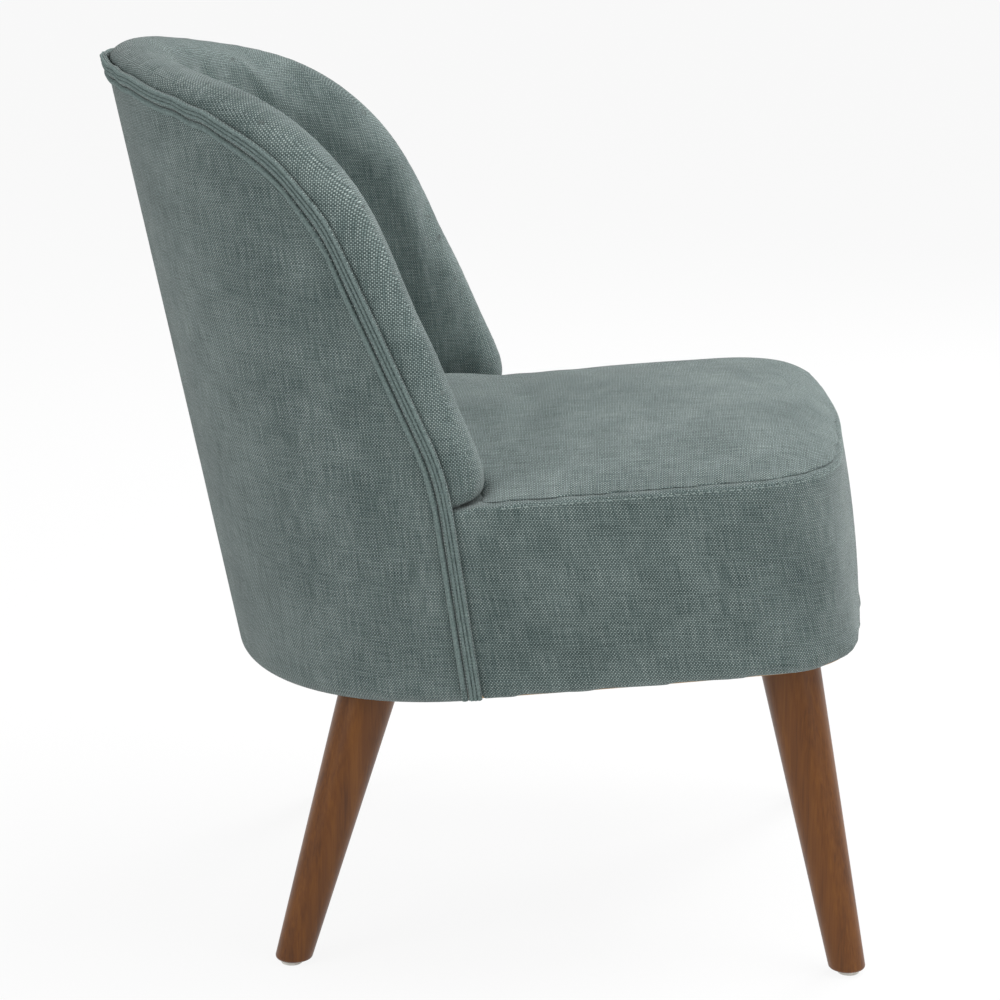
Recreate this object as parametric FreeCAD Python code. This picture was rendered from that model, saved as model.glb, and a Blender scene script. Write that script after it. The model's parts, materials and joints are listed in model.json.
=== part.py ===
import FreeCAD, Part
import math
import os

V = FreeCAD.Vector

# Driving dimensions, mm. Front is -Y, the sitter's left is +X, the floor is z = 0.

# Body: a barrel that leans back and narrows upward, with a bowed front.
GUIDE_LOW_Z = 244.0
GUIDE_HIGH_Z = 751.0
HALF_WIDTH_LOW = 272.0
HALF_WIDTH_HIGH = 222.0
REAR_LOW = 220.6
REAR_HIGH = 327.8
FRONT_LOW = -339.0
FRONT_HIGH = -277.0
BARREL_CENTRE_Y = 4.2
SIDE_BOW_RADIUS = 3500.0
CORNER_RADIUS = 78.0
FRONT_BOW_RADIUS = 1500.0
BOTTOM_ROUND = 12.0

# Seat, measured square to its raked underside.
SEAT_RAKE = 4.6
SEAT_BOTTOM_Z = 251.8
BOXING_HEIGHT = 162.5
SEAT_CROWN = 40.0
CROWN_POWER_SIDE = 2.8
CROWN_POWER_FRONT = 10.0
CROWN_CENTRE_Y = -25.8
CROWN_LEVELS = (0.0, 0.12, 0.3, 0.5, 0.7, 0.87, 0.98)

# Side view of the back's edge: three straight runs joined by two bends, as (y, z).
EDGE_FOOT = (-19.4, 150.0)
EDGE_LOW_BEND = (26.5, 438.2)
EDGE_HIGH_BEND = (149.3, 696.3)
EDGE_TOP = (397.1, 770.6)
EDGE_LOW_RADIUS = 203.0
EDGE_HIGH_RADIUS = 215.0

# Layers of the back, from the outside in.
COVER = 2.0
WADDING = 4.0
BOARD = 3.0
BAND_THICK = 9.0
SLAT_THICK = 9.0
WEBBING = 1.5
BACK_THICK = 62.0
SEAT_CLEARANCE = 0.3

# Rolled edge of the back and its welt.
ROLL_WING = 31.0
ROLL_TOP = 18.0
ROLL_POWER = 2
WELT_WIDTH = 11.0
WELT_PROUD = 3.2
WELT_ROUND = 2.2
FOLD_WIDTH = 5.2
FOLD_PROUD = 2.8
FOLD_ROUND = 1.8
WELT_GAP = 0.3
WELT_SEAT = 0.2
TUCK = 15.0
BACK_STATIONS = 27

# Frame.
RAIL_THICK = 22.0
RAIL_HEIGHT = 73.0
FRONT_JOINT_Y = -244.0
REAR_JOINT_Y = -31.0
BOW_DEPTH = 24.0
BOW_GAP = 0.5
BAND_HEIGHT = 45.0
LOWER_BAND_Z = 425.0
UPPER_BAND_Z = 590.0
SLAT_WIDTH = 40.0
SLAT_ANGLES = (-60.0, -30.0, 0.0, 30.0, 60.0)
DOWEL_DIAMETER = 8.0
DOWEL_LENGTH = 40.0
DOWEL_LEVELS = (20.0, 55.0)

# Webbing and the layers over it.
STRAP_WIDTH = 50.0
SEAT_STRAP_X = (-172.0, -60.0, 60.0, 172.0)
SEAT_STRAP_Y = (-215.0, -130.0, -45.0)
BACK_STRAP_WIDTH = 36.0
BACK_STRAP_ANGLES = (-45.0, -15.0, 15.0, 45.0)
INSULATOR = 4.0
FLANGE = 32.0
DUST_COVER = 1.0
DUST_COVER_INSET = 20.0

# Legs, their blocks and hardware.
REAR_FOOT = (214.0, 158.3)
REAR_LEAN = (-0.151, -0.280)
FRONT_FOOT = (220.0, -317.5)
FRONT_LEAN = (-0.143, 0.204)
LEG_FOOT_DIAMETER = 30.5
LEG_TAPER = 0.075
LEG_RIM = 3.0
GLIDE_DIAMETER = 18.5
GLIDE_HEIGHT = 4.0
GLIDE_EDGE = 1.2
NAIL_DIAMETER = 2.4
NAIL_LENGTH = 16.0
BLOCK_HEIGHT = 30.0
BLOCK_REACH = 52.0
BOLT_DIAMETER = 8.0
BOLT_IN_LEG = 35.0
NUT_FLANGE_DIAMETER = 22.0
NUT_FLANGE = 1.5
NUT_BARREL_DIAMETER = 11.0
NUT_BARREL = 12.0

# Working sizes that follow from the driving ones.
FAR = 700.0
TOLERANCE = 0.02
LOFT_LOW_Z = 190.0
LOFT_HIGH_Z = 810.0
FRAME_OFFSET = COVER + WADDING + BOARD
SLAT_OFFSET = FRAME_OFFSET + BAND_THICK
WEB_OFFSET = SLAT_OFFSET + SLAT_THICK
FOAM_OFFSET = WEB_OFFSET + WEBBING
RAIL_INNER = FRAME_OFFSET + RAIL_THICK
RAIL_TOP = COVER + RAIL_HEIGHT
SEAT_DECK = RAIL_TOP + 2 * WEBBING
FOAM_BASE = SEAT_DECK + INSULATOR
SEAT = FreeCAD.Placement(V(0, 0, SEAT_BOTTOM_Z), FreeCAD.Rotation(V(1, 0, 0), -SEAT_RAKE))
SEAT_UP = SEAT.Rotation.multVec(V(0, 0, 1))


def between(low, high, z):
    """Value on the straight line through the two guide levels."""
    return low + (high - low) * (z - GUIDE_LOW_Z) / (GUIDE_HIGH_Z - GUIDE_LOW_Z)


def half_width(z):
    return between(HALF_WIDTH_LOW, HALF_WIDTH_HIGH, z)


def barrel_depth(z):
    return between(REAR_LOW, REAR_HIGH, z) - BARREL_CENTRE_Y


def arc(a, b, c):
    return Part.Arc(a, b, c).toShape()


def line(a, b):
    return Part.LineSegment(a, b).toShape()


def quarter_ellipse(centre, x_axis, y_axis, start):
    """A quarter of an ellipse from angle start to start + 90 degrees."""
    def at(angle):
        turn = math.radians(angle)
        return centre + x_axis * math.cos(turn) + y_axis * math.sin(turn)
    weight = math.sqrt(0.5)
    first, last = at(start), at(start + 90)
    corner = first + last - centre
    curve = Part.BSplineCurve()
    curve.buildFromPolesMultsKnots([first, corner, last], [3, 3], [0, 1], False, 2, [1, weight, 1])
    return curve.toShape()


def meeting(first, first_radius, second, second_radius):
    """The front left point at the given distances from two centres on one level."""
    apart = second - first
    share = (apart.Length ** 2 + first_radius ** 2 - second_radius ** 2) / (2 * apart.Length)
    way = V(apart).normalize()
    across = V(way.y, -way.x, 0)
    return first + way * share + across * math.sqrt(first_radius ** 2 - share ** 2)


def outline(z, offset):
    """Plan of the body at one level, moved in by offset: bowed front and sides, corners, half ellipse."""
    wide = half_width(z) - offset
    deep = barrel_depth(z) - offset
    front = between(FRONT_LOW, FRONT_HIGH, z) + offset
    round_off = CORNER_RADIUS - offset
    side_bow = SIDE_BOW_RADIUS - offset
    front_bow = FRONT_BOW_RADIUS - offset
    side_centre = V(wide - side_bow, BARREL_CENTRE_Y, z)
    front_centre = V(0, front + front_bow, z)
    corner = meeting(side_centre, side_bow - round_off, front_centre, front_bow - round_off)
    to_side = (corner - side_centre).normalize()
    to_front = (corner - front_centre).normalize()
    middle = (to_side + to_front).normalize()
    side_end = side_centre + to_side * side_bow
    side_middle = side_centre + (to_side + V(1, 0, 0)).normalize() * side_bow
    bend = corner + middle * round_off
    front_end = front_centre + to_front * front_bow

    def right(point):
        return V(-point.x, point.y, point.z)

    centre = V(0, BARREL_CENTRE_Y, z)
    widest = V(wide, BARREL_CENTRE_Y, z)
    return Part.Wire([
        arc(right(front_end), V(0, front, z), front_end),
        arc(front_end, bend, side_end),
        arc(side_end, side_middle, widest),
        quarter_ellipse(centre, V(wide, 0, 0), V(0, deep, 0), 0),
        quarter_ellipse(centre, V(wide, 0, 0), V(0, deep, 0), 90),
        arc(right(widest), right(side_middle), right(side_end)),
        arc(right(side_end), right(bend), right(front_end)),
    ])


made_bodies = {}


def body(offset):
    """The whole leaning body, moved in by offset, taller than the chair at both ends."""
    if offset not in made_bodies:
        ends = [outline(LOFT_LOW_Z, offset), outline(LOFT_HIGH_Z, offset)]
        made_bodies[offset] = Part.makeLoft(ends, True, True)
    return made_bodies[offset]


def shell(outer, inner):
    return body(outer).cut(body(inner))


def slab(low, high):
    """Everything between two levels over the raked underside of the seat."""
    block = Part.makeBox(2 * FAR, 2 * FAR, high - low, V(-FAR, -FAR, low))
    block.Placement = SEAT
    return block


def rounded_body(offset):
    """The body down to its underside, whose edge is rounded."""
    solid = body(offset).common(slab(offset, FAR))
    radius = BOTTOM_ROUND - offset
    low = []
    for edge in solid.Edges:
        levels = [SEAT.inverse().multVec(p).z for p in edge.discretize(3)]
        if max(levels) < offset + TOLERANCE:
            low.append(edge)
    return solid.makeFillet(radius, low)


def edge_profile(offset):
    """Side view of the back's edge, moved back and down by offset."""
    points = [V(0, y, z) for y, z in (EDGE_FOOT, EDGE_LOW_BEND, EDGE_HIGH_BEND, EDGE_TOP)]
    ways = [(b - a).normalize() for a, b in zip(points, points[1:])]
    # Square to each run, towards the rear and down.
    sides = [V(0, way.z, -way.y) for way in ways]
    moved = [points[0] + sides[0] * offset]
    for corner, before, after in zip(points[1:3], sides, sides[1:]):
        moved.append(corner + (before + after) * (offset / (1 + before.dot(after))))
    moved.append(points[3] + sides[2] * offset)
    edges = []
    last = moved[0]
    for i, radius in ((1, EDGE_LOW_RADIUS - offset), (2, EDGE_HIGH_RADIUS - offset)):
        turn = math.acos(ways[i - 1].dot(ways[i]))
        reach = radius * math.tan(turn / 2)
        start = moved[i] - ways[i - 1] * reach
        end = moved[i] + ways[i] * reach
        inward = (ways[i] - ways[i - 1]).normalize()
        middle = moved[i] + inward * (radius / math.cos(turn / 2) - radius)
        edges.append(line(last, start))
        edges.append(arc(start, middle, end))
        last = end
    edges.append(line(last, moved[3]))
    return edges


def behind_edge(offset):
    """Everything behind the edge of the back, moved back by offset."""
    edges = edge_profile(offset)
    foot = edges[0].Vertexes[0].Point
    top = edges[-1].Vertexes[-1].Point
    rear_top = V(0, FAR, top.z)
    rear_foot = V(0, FAR, foot.z)
    edges.append(line(top, rear_top))
    edges.append(line(rear_top, rear_foot))
    edges.append(line(rear_foot, foot))
    face = Part.Face(Part.Wire(edges))
    face.translate(V(-FAR, 0, 0))
    return face.extrude(V(2 * FAR, 0, 0))


def box_between(x, y, z):
    """Box from three (low, high) pairs."""
    return Part.makeBox(x[1] - x[0], y[1] - y[0], z[1] - z[0], V(x[0], y[0], z[0]))


def barrel_point(angle, offset, z):
    """Point of the barrel at an angle round it, 0 on the sitter's left and 90 at the rear."""
    turn = math.radians(angle)
    x = (half_width(z) - offset) * math.cos(turn)
    y = BARREL_CENTRE_Y + (barrel_depth(z) - offset) * math.sin(turn)
    return V(x, y, z)


def down_to(angle, offset, level):
    """Where a straight line down the barrel reaches a level over the seat's underside."""
    low = barrel_point(angle, offset, GUIDE_LOW_Z)
    high = barrel_point(angle, offset, GUIDE_HIGH_Z)
    base = V(0, 0, SEAT_BOTTOM_Z)
    at_low = (low - base).dot(SEAT_UP)
    at_high = (high - base).dot(SEAT_UP)
    return low + (high - low) * ((level - at_low) / (at_high - at_low))


def barrel_strip(angle, width):
    """A wedge of constant width that follows one straight line of the barrel."""
    quads = []
    for z in (LOFT_LOW_Z, LOFT_HIGH_Z):
        turn = math.radians(angle)
        along = V(-half_width(z) * math.sin(turn), barrel_depth(z) * math.cos(turn), 0).normalize()
        half = along * (width / 2)
        outer = barrel_point(angle, -BACK_THICK, z)
        inner = barrel_point(angle, 2 * BACK_THICK, z)
        quads.append(Part.makePolygon([outer - half, outer + half, inner + half, inner - half,
                                       outer - half]))
    return Part.makeLoft(quads, True, True)


class Station:
    """One place on the edge of the back, with its three directions."""

    def __init__(self, before, here, after):
        self.at = here
        self.along = (after - before).normalize()
        over = (here.y - BARREL_CENTRE_Y) / barrel_depth(here.z)
        if over <= 0:
            self.angle = 0.0 if here.x > 0 else 180.0
        else:
            self.angle = math.degrees(math.atan2(over, here.x / half_width(here.z)))
        turn = math.radians(self.angle)
        self.inward = V(-math.cos(turn), -math.sin(turn), 0)
        self.out = self.along.cross(self.inward).normalize()
        if self.out.z - self.out.y < 0:
            self.out = -self.out
        to_wing = 1 - math.sin(turn) ** ROLL_POWER
        self.roll = ROLL_TOP + (ROLL_WING - ROLL_TOP) * to_wing

    def place(self, inward, out):
        return self.at + self.inward * inward + self.out * out


def edge_line():
    """The line where the barrel meets the side view of its edge, from side to side."""
    wire = Part.Wire(edge_profile(0))
    wire.translate(V(-FAR, 0, 0))
    sheet = wire.extrude(V(2 * FAR, 0, 0))
    cuts = []
    for face in body(0).Faces:
        box = face.BoundBox
        if box.ZLength > 1 and box.YMax > BARREL_CENTRE_Y - 1:
            cuts += face.section(sheet).Edges
    return Part.Wire(Part.sortEdges(cuts)[0])


def stations(level, count):
    """Evenly spaced stations on the part of the edge that lies over a level of the seat."""
    whole = edge_line().common(slab(level, FAR))
    wire = Part.Wire(Part.sortEdges(whole.Edges)[0])
    points = wire.discretize(Number=count)
    if points[0].x > 0:
        points.reverse()
    ahead = points[1:] + [points[-1]]
    back = [points[0]] + points[:-1]
    return [Station(b, p, a) for b, p, a in zip(back, points, ahead)]


def roll_arcs(place, offset, lift):
    """The rolled edge in section, from the welt over to the inner face, as two curves."""
    half = BACK_THICK / 2
    centre = place.place(half, 0)
    x_axis = place.inward * (offset - half)
    y_axis = place.out * (place.roll - offset)
    first = quarter_ellipse(centre, x_axis, y_axis, 0)
    second = quarter_ellipse(centre, x_axis, y_axis, 90)
    if lift:
        start = first.Curve.parameterAtDistance(lift, first.FirstParameter)
        first = first.Curve.toShape(start, first.LastParameter)
    return first, second


def ends_of(edge):
    return edge.valueAt(edge.FirstParameter), edge.valueAt(edge.LastParameter)


def tube_with_ends(wires, caps):
    """A solid from closed sections in a row, whose two end faces are given."""
    skin = Part.makeLoft(wires, False, False)
    solid = Part.makeSolid(Part.makeShell(skin.Faces + caps))
    if not solid.isValid():
        sewn = Part.makeShell(skin.Faces + caps)
        sewn.sewShape()
        solid = Part.makeSolid(sewn.Shells[0])
    if solid.Volume < 0:
        solid.reverse()
    return solid


def inside_back_foam(places):
    """Foam over the inside of the back, hooked over the bow to make the rolled edge."""
    wires = []
    caps = []
    tuck = BOXING_HEIGHT - TUCK
    for place in places:
        first, second = roll_arcs(place, COVER, 0)
        start, inner = ends_of(first)[0], ends_of(second)[1]
        low_inner = down_to(place.angle, BACK_THICK - COVER, tuck)
        low_outer = down_to(place.angle, FOAM_OFFSET, tuck)
        heel = place.place(FOAM_OFFSET, 0)
        wires.append(Part.Wire([first, second, line(inner, low_inner), line(low_inner, low_outer),
                                line(low_outer, heel), line(heel, start)]))
        if place in (places[0], places[-1]):
            caps.append(Part.Face(Part.Wire([first, second, line(inner, heel), line(heel, start)])))
            caps.append(Part.Face(Part.makePolygon([inner, low_inner, low_outer, heel, inner])))
    return tube_with_ends(wires, caps)


def inside_back_cover(places):
    """Fabric from the welt over the rolled edge and down the inside to the seat."""
    wires = []
    caps = []
    tuck = BOXING_HEIGHT - TUCK
    lift = WELT_WIDTH / 2 + WELT_GAP
    for place in places:
        first, second = roll_arcs(place, 0, lift)
        under_first, under_second = roll_arcs(place, COVER, lift)
        start, inner = ends_of(first)[0], ends_of(second)[1]
        under_start, under_inner = ends_of(under_first)[0], ends_of(under_second)[1]
        low = down_to(place.angle, BACK_THICK, tuck)
        under_low = down_to(place.angle, BACK_THICK - COVER, tuck)
        wires.append(Part.Wire([first, second, line(inner, low), line(low, under_low),
                                line(under_low, under_inner), under_second, under_first,
                                line(under_start, start)]))
        if place in (places[0], places[-1]):
            rim = [first, second, line(inner, under_inner), under_second, under_first,
                   line(under_start, start)]
            caps.append(Part.Face(Part.Wire(rim)))
            caps.append(Part.Face(Part.makePolygon([inner, low, under_low, under_inner, inner])))
    return tube_with_ends(wires, caps)


def edge_band(start, end, proud, rounding):
    """A raised band along the edge of the back, between two distances behind it, with round shoulders."""
    band = shell(-proud, COVER - WELT_SEAT).common(behind_edge(start)).cut(behind_edge(end))
    band = band.common(slab(0, FAR))
    shoulders = []
    for edge in band.Edges:
        faces = band.ancestorsOfType(edge, Part.Face)
        if sum(is_proud(face, proud) for face in faces) == 1 and over_seat(edge) > WELT_WIDTH:
            shoulders.append(edge)
    return band.makeFillet(rounding, shoulders)


def is_proud(face, proud):
    """Whether a face lies on the raised outer surface."""
    touch = face.distToShape(Part.Vertex(face.CenterOfMass))[1][0][0]
    return body(-proud).Shells[0].distToShape(Part.Vertex(touch))[0] < TOLERANCE


def over_seat(edge):
    """Highest level of an edge over the seat's underside."""
    return max(SEAT.inverse().multVec(p).z for p in edge.discretize(3))


def wing_envelope(places):
    """The rolled wings with a little room, to cut the seat's crown clear of them."""
    outer_reach = -2 * WELT_PROUD
    half = (BACK_THICK + SEAT_CLEARANCE - outer_reach) / 2
    wires = []
    for place in places:
        centre = place.place(outer_reach + half, 0)
        x_axis = place.inward * -half
        y_axis = place.out * (place.roll + SEAT_CLEARANCE)
        first = quarter_ellipse(centre, x_axis, y_axis, 0)
        second = quarter_ellipse(centre, x_axis, y_axis, 90)
        outer, inner = ends_of(first)[0], ends_of(second)[1]
        sink = place.out * ROLL_TOP
        wires.append(Part.Wire([first, second, line(inner, inner - sink),
                                line(inner - sink, outer - sink), line(outer - sink, outer)]))
    return Part.makeLoft(wires, True, False)


def back_zone():
    """The room that the back takes above and beside the seat."""
    return behind_edge(0).cut(body(BACK_THICK + SEAT_CLEARANCE))


def crown(offset, height):
    """The domed top of the seat, which rises from its seam."""
    base = SEAT.multVec(V(0, 0, BOXING_HEIGHT))
    seam = body(offset).slice(SEAT_UP, base.dot(SEAT_UP))[0]
    pivot = SEAT.multVec(V(0, CROWN_CENTRE_Y, BOXING_HEIGHT))
    wires = []
    for share in CROWN_LEVELS:
        wide = (1 - share) ** (1 / CROWN_POWER_SIDE)
        deep = (1 - share) ** (1 / CROWN_POWER_FRONT)
        spread = FreeCAD.Matrix()
        spread.move(-pivot)
        spread.scale(wide, deep, deep)
        spread.move(pivot + SEAT_UP * (height * share))
        wires.append(seam.transformGeometry(spread))
    return Part.makeLoft(wires, True, False)


def seat_top_cover(clear):
    skin = crown(0, SEAT_CROWN).cut(crown(COVER, SEAT_CROWN - COVER))
    for cutter in clear:
        skin = skin.cut(cutter)
    return skin


def seat_foam(clear):
    block = body(COVER).common(slab(FOAM_BASE, BOXING_HEIGHT)).cut(clear[-1])
    dome = crown(COVER, SEAT_CROWN - COVER)
    for cutter in clear:
        dome = dome.cut(cutter)
    return block.fuse(dome).removeSplitter()


def seat_boxing_cover(outside):
    front = behind_edge(-WELT_WIDTH / 2 - WELT_GAP)
    return outside.common(slab(0, BOXING_HEIGHT)).cut(front)


def outside_back_cover(outside):
    return outside.common(behind_edge(WELT_WIDTH / 2 + FOLD_WIDTH + 2 * WELT_GAP))


def leg_parts(foot, lean, side):
    """Leg, glide, block, bolt and tee nut of one corner."""
    base = V(side * foot[0], foot[1], 0)
    axis = V(side * lean[0], lean[1], 1)
    way = V(axis).normalize()
    radius = LEG_FOOT_DIAMETER / 2
    low_end = base - axis * LEG_FOOT_DIAMETER
    high_end = base + axis * (SEAT_BOTTOM_Z + 2 * BLOCK_HEIGHT)
    run = (high_end - low_end).Length
    spread = LEG_TAPER / 2
    low_radius = radius - spread * (base - low_end).Length
    leg = Part.makeCone(low_radius, low_radius + spread * run, run, low_end, way)
    above_floor = box_between((-FAR, FAR), (-FAR, FAR), (GLIDE_HEIGHT, FAR))
    leg = leg.common(above_floor).cut(slab(COVER, FAR))
    rim = min(leg.Edges, key=lambda e: e.BoundBox.ZMax)
    leg = leg.makeFillet(LEG_RIM, [rim])
    up = V(0, 0, 1)
    disc = Part.makeCylinder(GLIDE_DIAMETER / 2, GLIDE_HEIGHT, base, up)
    disc = disc.makeFillet(GLIDE_EDGE, [e for e in disc.Edges if e.BoundBox.ZMax < GLIDE_HEIGHT / 2])
    nail = Part.makeCylinder(NAIL_DIAMETER / 2, NAIL_LENGTH, base + up * GLIDE_HEIGHT, up)
    glide = disc.fuse(nail).removeSplitter()
    # The leg's axis meets the block's underside at its centre.
    normal_run = axis.dot(SEAT_UP)
    lift = (COVER - (base - V(0, 0, SEAT_BOTTOM_Z)).dot(SEAT_UP)) / normal_run
    seat_point = base + axis * lift
    reach_x = sorted((side * (abs(seat_point.x) - BLOCK_REACH), side * FAR))
    front = foot[1] < BARREL_CENTRE_Y
    reach_y = (-FAR, seat_point.y + BLOCK_REACH)
    if not front:
        reach_y = (seat_point.y - BLOCK_REACH, seat_point.y + BLOCK_REACH)
    block = body(RAIL_INNER).common(slab(COVER, COVER + BLOCK_HEIGHT))
    block = block.common(box_between(reach_x, reach_y, (0, FAR)))
    nut_seat = seat_point + way * (BLOCK_HEIGHT - NUT_BARREL)
    flange_seat = nut_seat + way * NUT_BARREL
    barrel = Part.makeCylinder(NUT_BARREL_DIAMETER / 2, NUT_BARREL, nut_seat, way)
    flange = Part.makeCylinder(NUT_FLANGE_DIAMETER / 2, NUT_FLANGE, flange_seat, way)
    bolt_run = BOLT_IN_LEG + BLOCK_HEIGHT
    bolt = Part.makeCylinder(BOLT_DIAMETER / 2, bolt_run, seat_point - way * BOLT_IN_LEG, way)
    nut = barrel.fuse(flange).removeSplitter().cut(bolt)
    spot_face = Part.makeCylinder(NUT_FLANGE_DIAMETER / 2, BLOCK_HEIGHT, flange_seat, way)
    block = block.cut(barrel).cut(bolt).cut(spot_face)
    leg = leg.cut(bolt).cut(nail)
    return leg, glide, block, bolt, nut


def dowels():
    """Two dowels through each butt joint of the seat frame."""
    middle = FRAME_OFFSET + RAIL_THICK / 2
    pegs = []
    for joint in (FRONT_JOINT_Y, REAR_JOINT_Y):
        for level in DOWEL_LEVELS:
            place = SEAT.multVec(V(0, joint, level))
            ahead = BARREL_CENTRE_Y - place.y
            inset = SIDE_BOW_RADIUS - math.sqrt(SIDE_BOW_RADIUS ** 2 - ahead ** 2)
            reach = half_width(place.z) - inset - middle
            for side in (-1, 1):
                lean = V(side * ahead / SIDE_BOW_RADIUS, 1, 0)
                way = SEAT.Rotation.multVec(lean).normalize()
                centre = V(side * reach, place.y, place.z)
                start = centre - way * (DOWEL_LENGTH / 2)
                pegs.append(Part.makeCylinder(DOWEL_DIAMETER / 2, DOWEL_LENGTH, start, way))
    return pegs


def rails(pegs):
    """Front rail, side rails and rear hoop, cut from one ring at the joints."""
    ring = shell(FRAME_OFFSET, RAIL_INNER).common(slab(COVER, RAIL_TOP))
    for peg in pegs:
        ring = ring.cut(peg)
    everywhere = (-FAR, FAR)
    spans = {
        "front_rail": (everywhere, (-FAR, FRONT_JOINT_Y)),
        "left_side_rail": ((0, FAR), (FRONT_JOINT_Y, REAR_JOINT_Y)),
        "right_side_rail": ((-FAR, 0), (FRONT_JOINT_Y, REAR_JOINT_Y)),
        "rear_hoop": (everywhere, (REAR_JOINT_Y, FAR)),
    }
    return {name: ring.common(box_between(x, y, everywhere)) for name, (x, y) in spans.items()}


def back_frame():
    """Bow along the edge, two bent bands and the slats between hoop and bow."""
    above_rails = slab(RAIL_TOP, FAR)
    under_bow = behind_edge(BOW_GAP + BOW_DEPTH)
    frame_layer = shell(FRAME_OFFSET, WEB_OFFSET).common(above_rails)
    pieces = {"back_bow": frame_layer.common(behind_edge(BOW_GAP)).cut(under_bow)}
    inside_bow = under_bow.common(above_rails)
    band_layer = shell(FRAME_OFFSET, SLAT_OFFSET).common(inside_bow)
    for name, z in (("lower_back_band", LOWER_BAND_Z), ("upper_back_band", UPPER_BAND_Z)):
        level = box_between((-FAR, FAR), (-FAR, FAR), (z, z + BAND_HEIGHT))
        pieces[name] = band_layer.common(level)
    slat_layer = shell(SLAT_OFFSET, WEB_OFFSET).common(inside_bow)
    for number, angle in enumerate(SLAT_ANGLES, 1):
        strip = barrel_strip(90 + angle, SLAT_WIDTH)
        pieces["back_slat_%d" % number] = slat_layer.common(strip)
    web_layer = shell(WEB_OFFSET, FOAM_OFFSET).common(above_rails).common(behind_edge(BOW_DEPTH / 3))
    straps = [web_layer.common(barrel_strip(90 + a, BACK_STRAP_WIDTH)) for a in BACK_STRAP_ANGLES]
    pieces["back_webbing"] = Part.makeCompound([s for strap in straps for s in strap.Solids])
    return pieces


def seat_webbing():
    """Elastic straps stapled on the rails, crosswise ones over the lengthwise ones."""
    inside = body(FRAME_OFFSET + RAIL_THICK / 4)
    low = inside.common(slab(RAIL_TOP, RAIL_TOP + WEBBING))
    high = inside.common(slab(RAIL_TOP + WEBBING, SEAT_DECK))
    half = STRAP_WIDTH / 2
    whole = (-FAR, FAR)
    long_straps = [low.common(box_between((x - half, x + half), whole, whole)) for x in SEAT_STRAP_X]
    cross_straps = [high.common(box_between(whole, (y - half, y + half), whole)) for y in SEAT_STRAP_Y]
    return Part.makeCompound(long_straps), Part.makeCompound(cross_straps)


def save(name, shape):
    solids = shape.Solids
    if not solids or not all(s.isValid() for s in solids):
        print("CHECK", name, len(solids), [s.isValid() for s in solids])
    out = solids[0] if len(solids) == 1 else Part.makeCompound(solids)
    out.exportStep("parts/%s.step" % name)
    print("%-26s %2d solids %10.0f mm3" % (name, len(solids), out.Volume))


def main():
    os.makedirs("parts", exist_ok=True)
    back_places = stations(BOXING_HEIGHT, BACK_STATIONS)
    zone = back_zone()
    clear = [wing_envelope(stations(BOXING_HEIGHT - TUCK, BACK_STATIONS)), zone]
    outside = rounded_body(0).cut(rounded_body(COVER))
    under_opening = body(FLANGE).common(slab(-FAR, COVER + BOTTOM_ROUND))
    outside = outside.cut(under_opening).common(slab(0, FAR))

    pegs = dowels()
    for name, shape in rails(pegs).items():
        save(name, shape)
    save("frame_dowels", Part.makeCompound(pegs))
    for name, shape in back_frame().items():
        save(name, shape)

    bolts = []
    nuts = []
    legs = []
    for end, foot, lean in (("front", FRONT_FOOT, FRONT_LEAN), ("rear", REAR_FOOT, REAR_LEAN)):
        for hand, side in (("left", 1), ("right", -1)):
            leg, glide, block, bolt, nut = leg_parts(foot, lean, side)
            save("%s_%s_leg" % (end, hand), leg)
            save("%s_%s_glide" % (end, hand), glide)
            save("%s_%s_corner_block" % (end, hand), block)
            legs.append(leg)
            bolts.append(bolt)
            nuts.append(nut)
    save("hanger_bolts", Part.makeCompound(bolts))
    save("tee_nuts", Part.makeCompound(nuts))

    lengthwise, crosswise = seat_webbing()
    save("seat_webbing_lengthwise", lengthwise)
    save("seat_webbing_crosswise", crosswise)
    save("seat_insulator", body(FRAME_OFFSET).common(slab(SEAT_DECK, FOAM_BASE)).cut(zone))
    save("seat_foam", seat_foam(clear))
    padding = rounded_body(COVER).cut(body(FRAME_OFFSET))
    boxing_pad = padding.common(slab(COVER, FOAM_BASE)).cut(behind_edge(0))
    save("boxing_wadding", boxing_pad)
    save("seat_top_cover", seat_top_cover(clear))
    save("seat_boxing_cover", seat_boxing_cover(outside))
    dust = body(DUST_COVER_INSET).common(slab(-DUST_COVER, 0))
    for leg in legs + bolts:
        dust = dust.cut(leg)
    save("dust_cover", dust)

    save("inside_back_foam", inside_back_foam(back_places))
    save("inside_back_cover", inside_back_cover(back_places))
    above = slab(BOTTOM_ROUND, FAR)
    lining = behind_edge(WELT_WIDTH / 2)
    save("outside_back_wadding", shell(COVER, COVER + WADDING).common(above).common(lining))
    save("outside_back_board", shell(COVER + WADDING, FRAME_OFFSET).common(above).common(lining))
    save("outside_back_cover", outside_back_cover(outside))
    half_welt = WELT_WIDTH / 2
    save("welt_cord", edge_band(-half_welt, half_welt, WELT_PROUD, WELT_ROUND))
    fold_start = half_welt + WELT_GAP
    save("welt_fold", edge_band(fold_start, fold_start + FOLD_WIDTH, FOLD_PROUD, FOLD_ROUND))


main()
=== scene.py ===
import bmesh
import bpy
import json
import math
import numpy as np
from mathutils import Matrix, Vector


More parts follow.
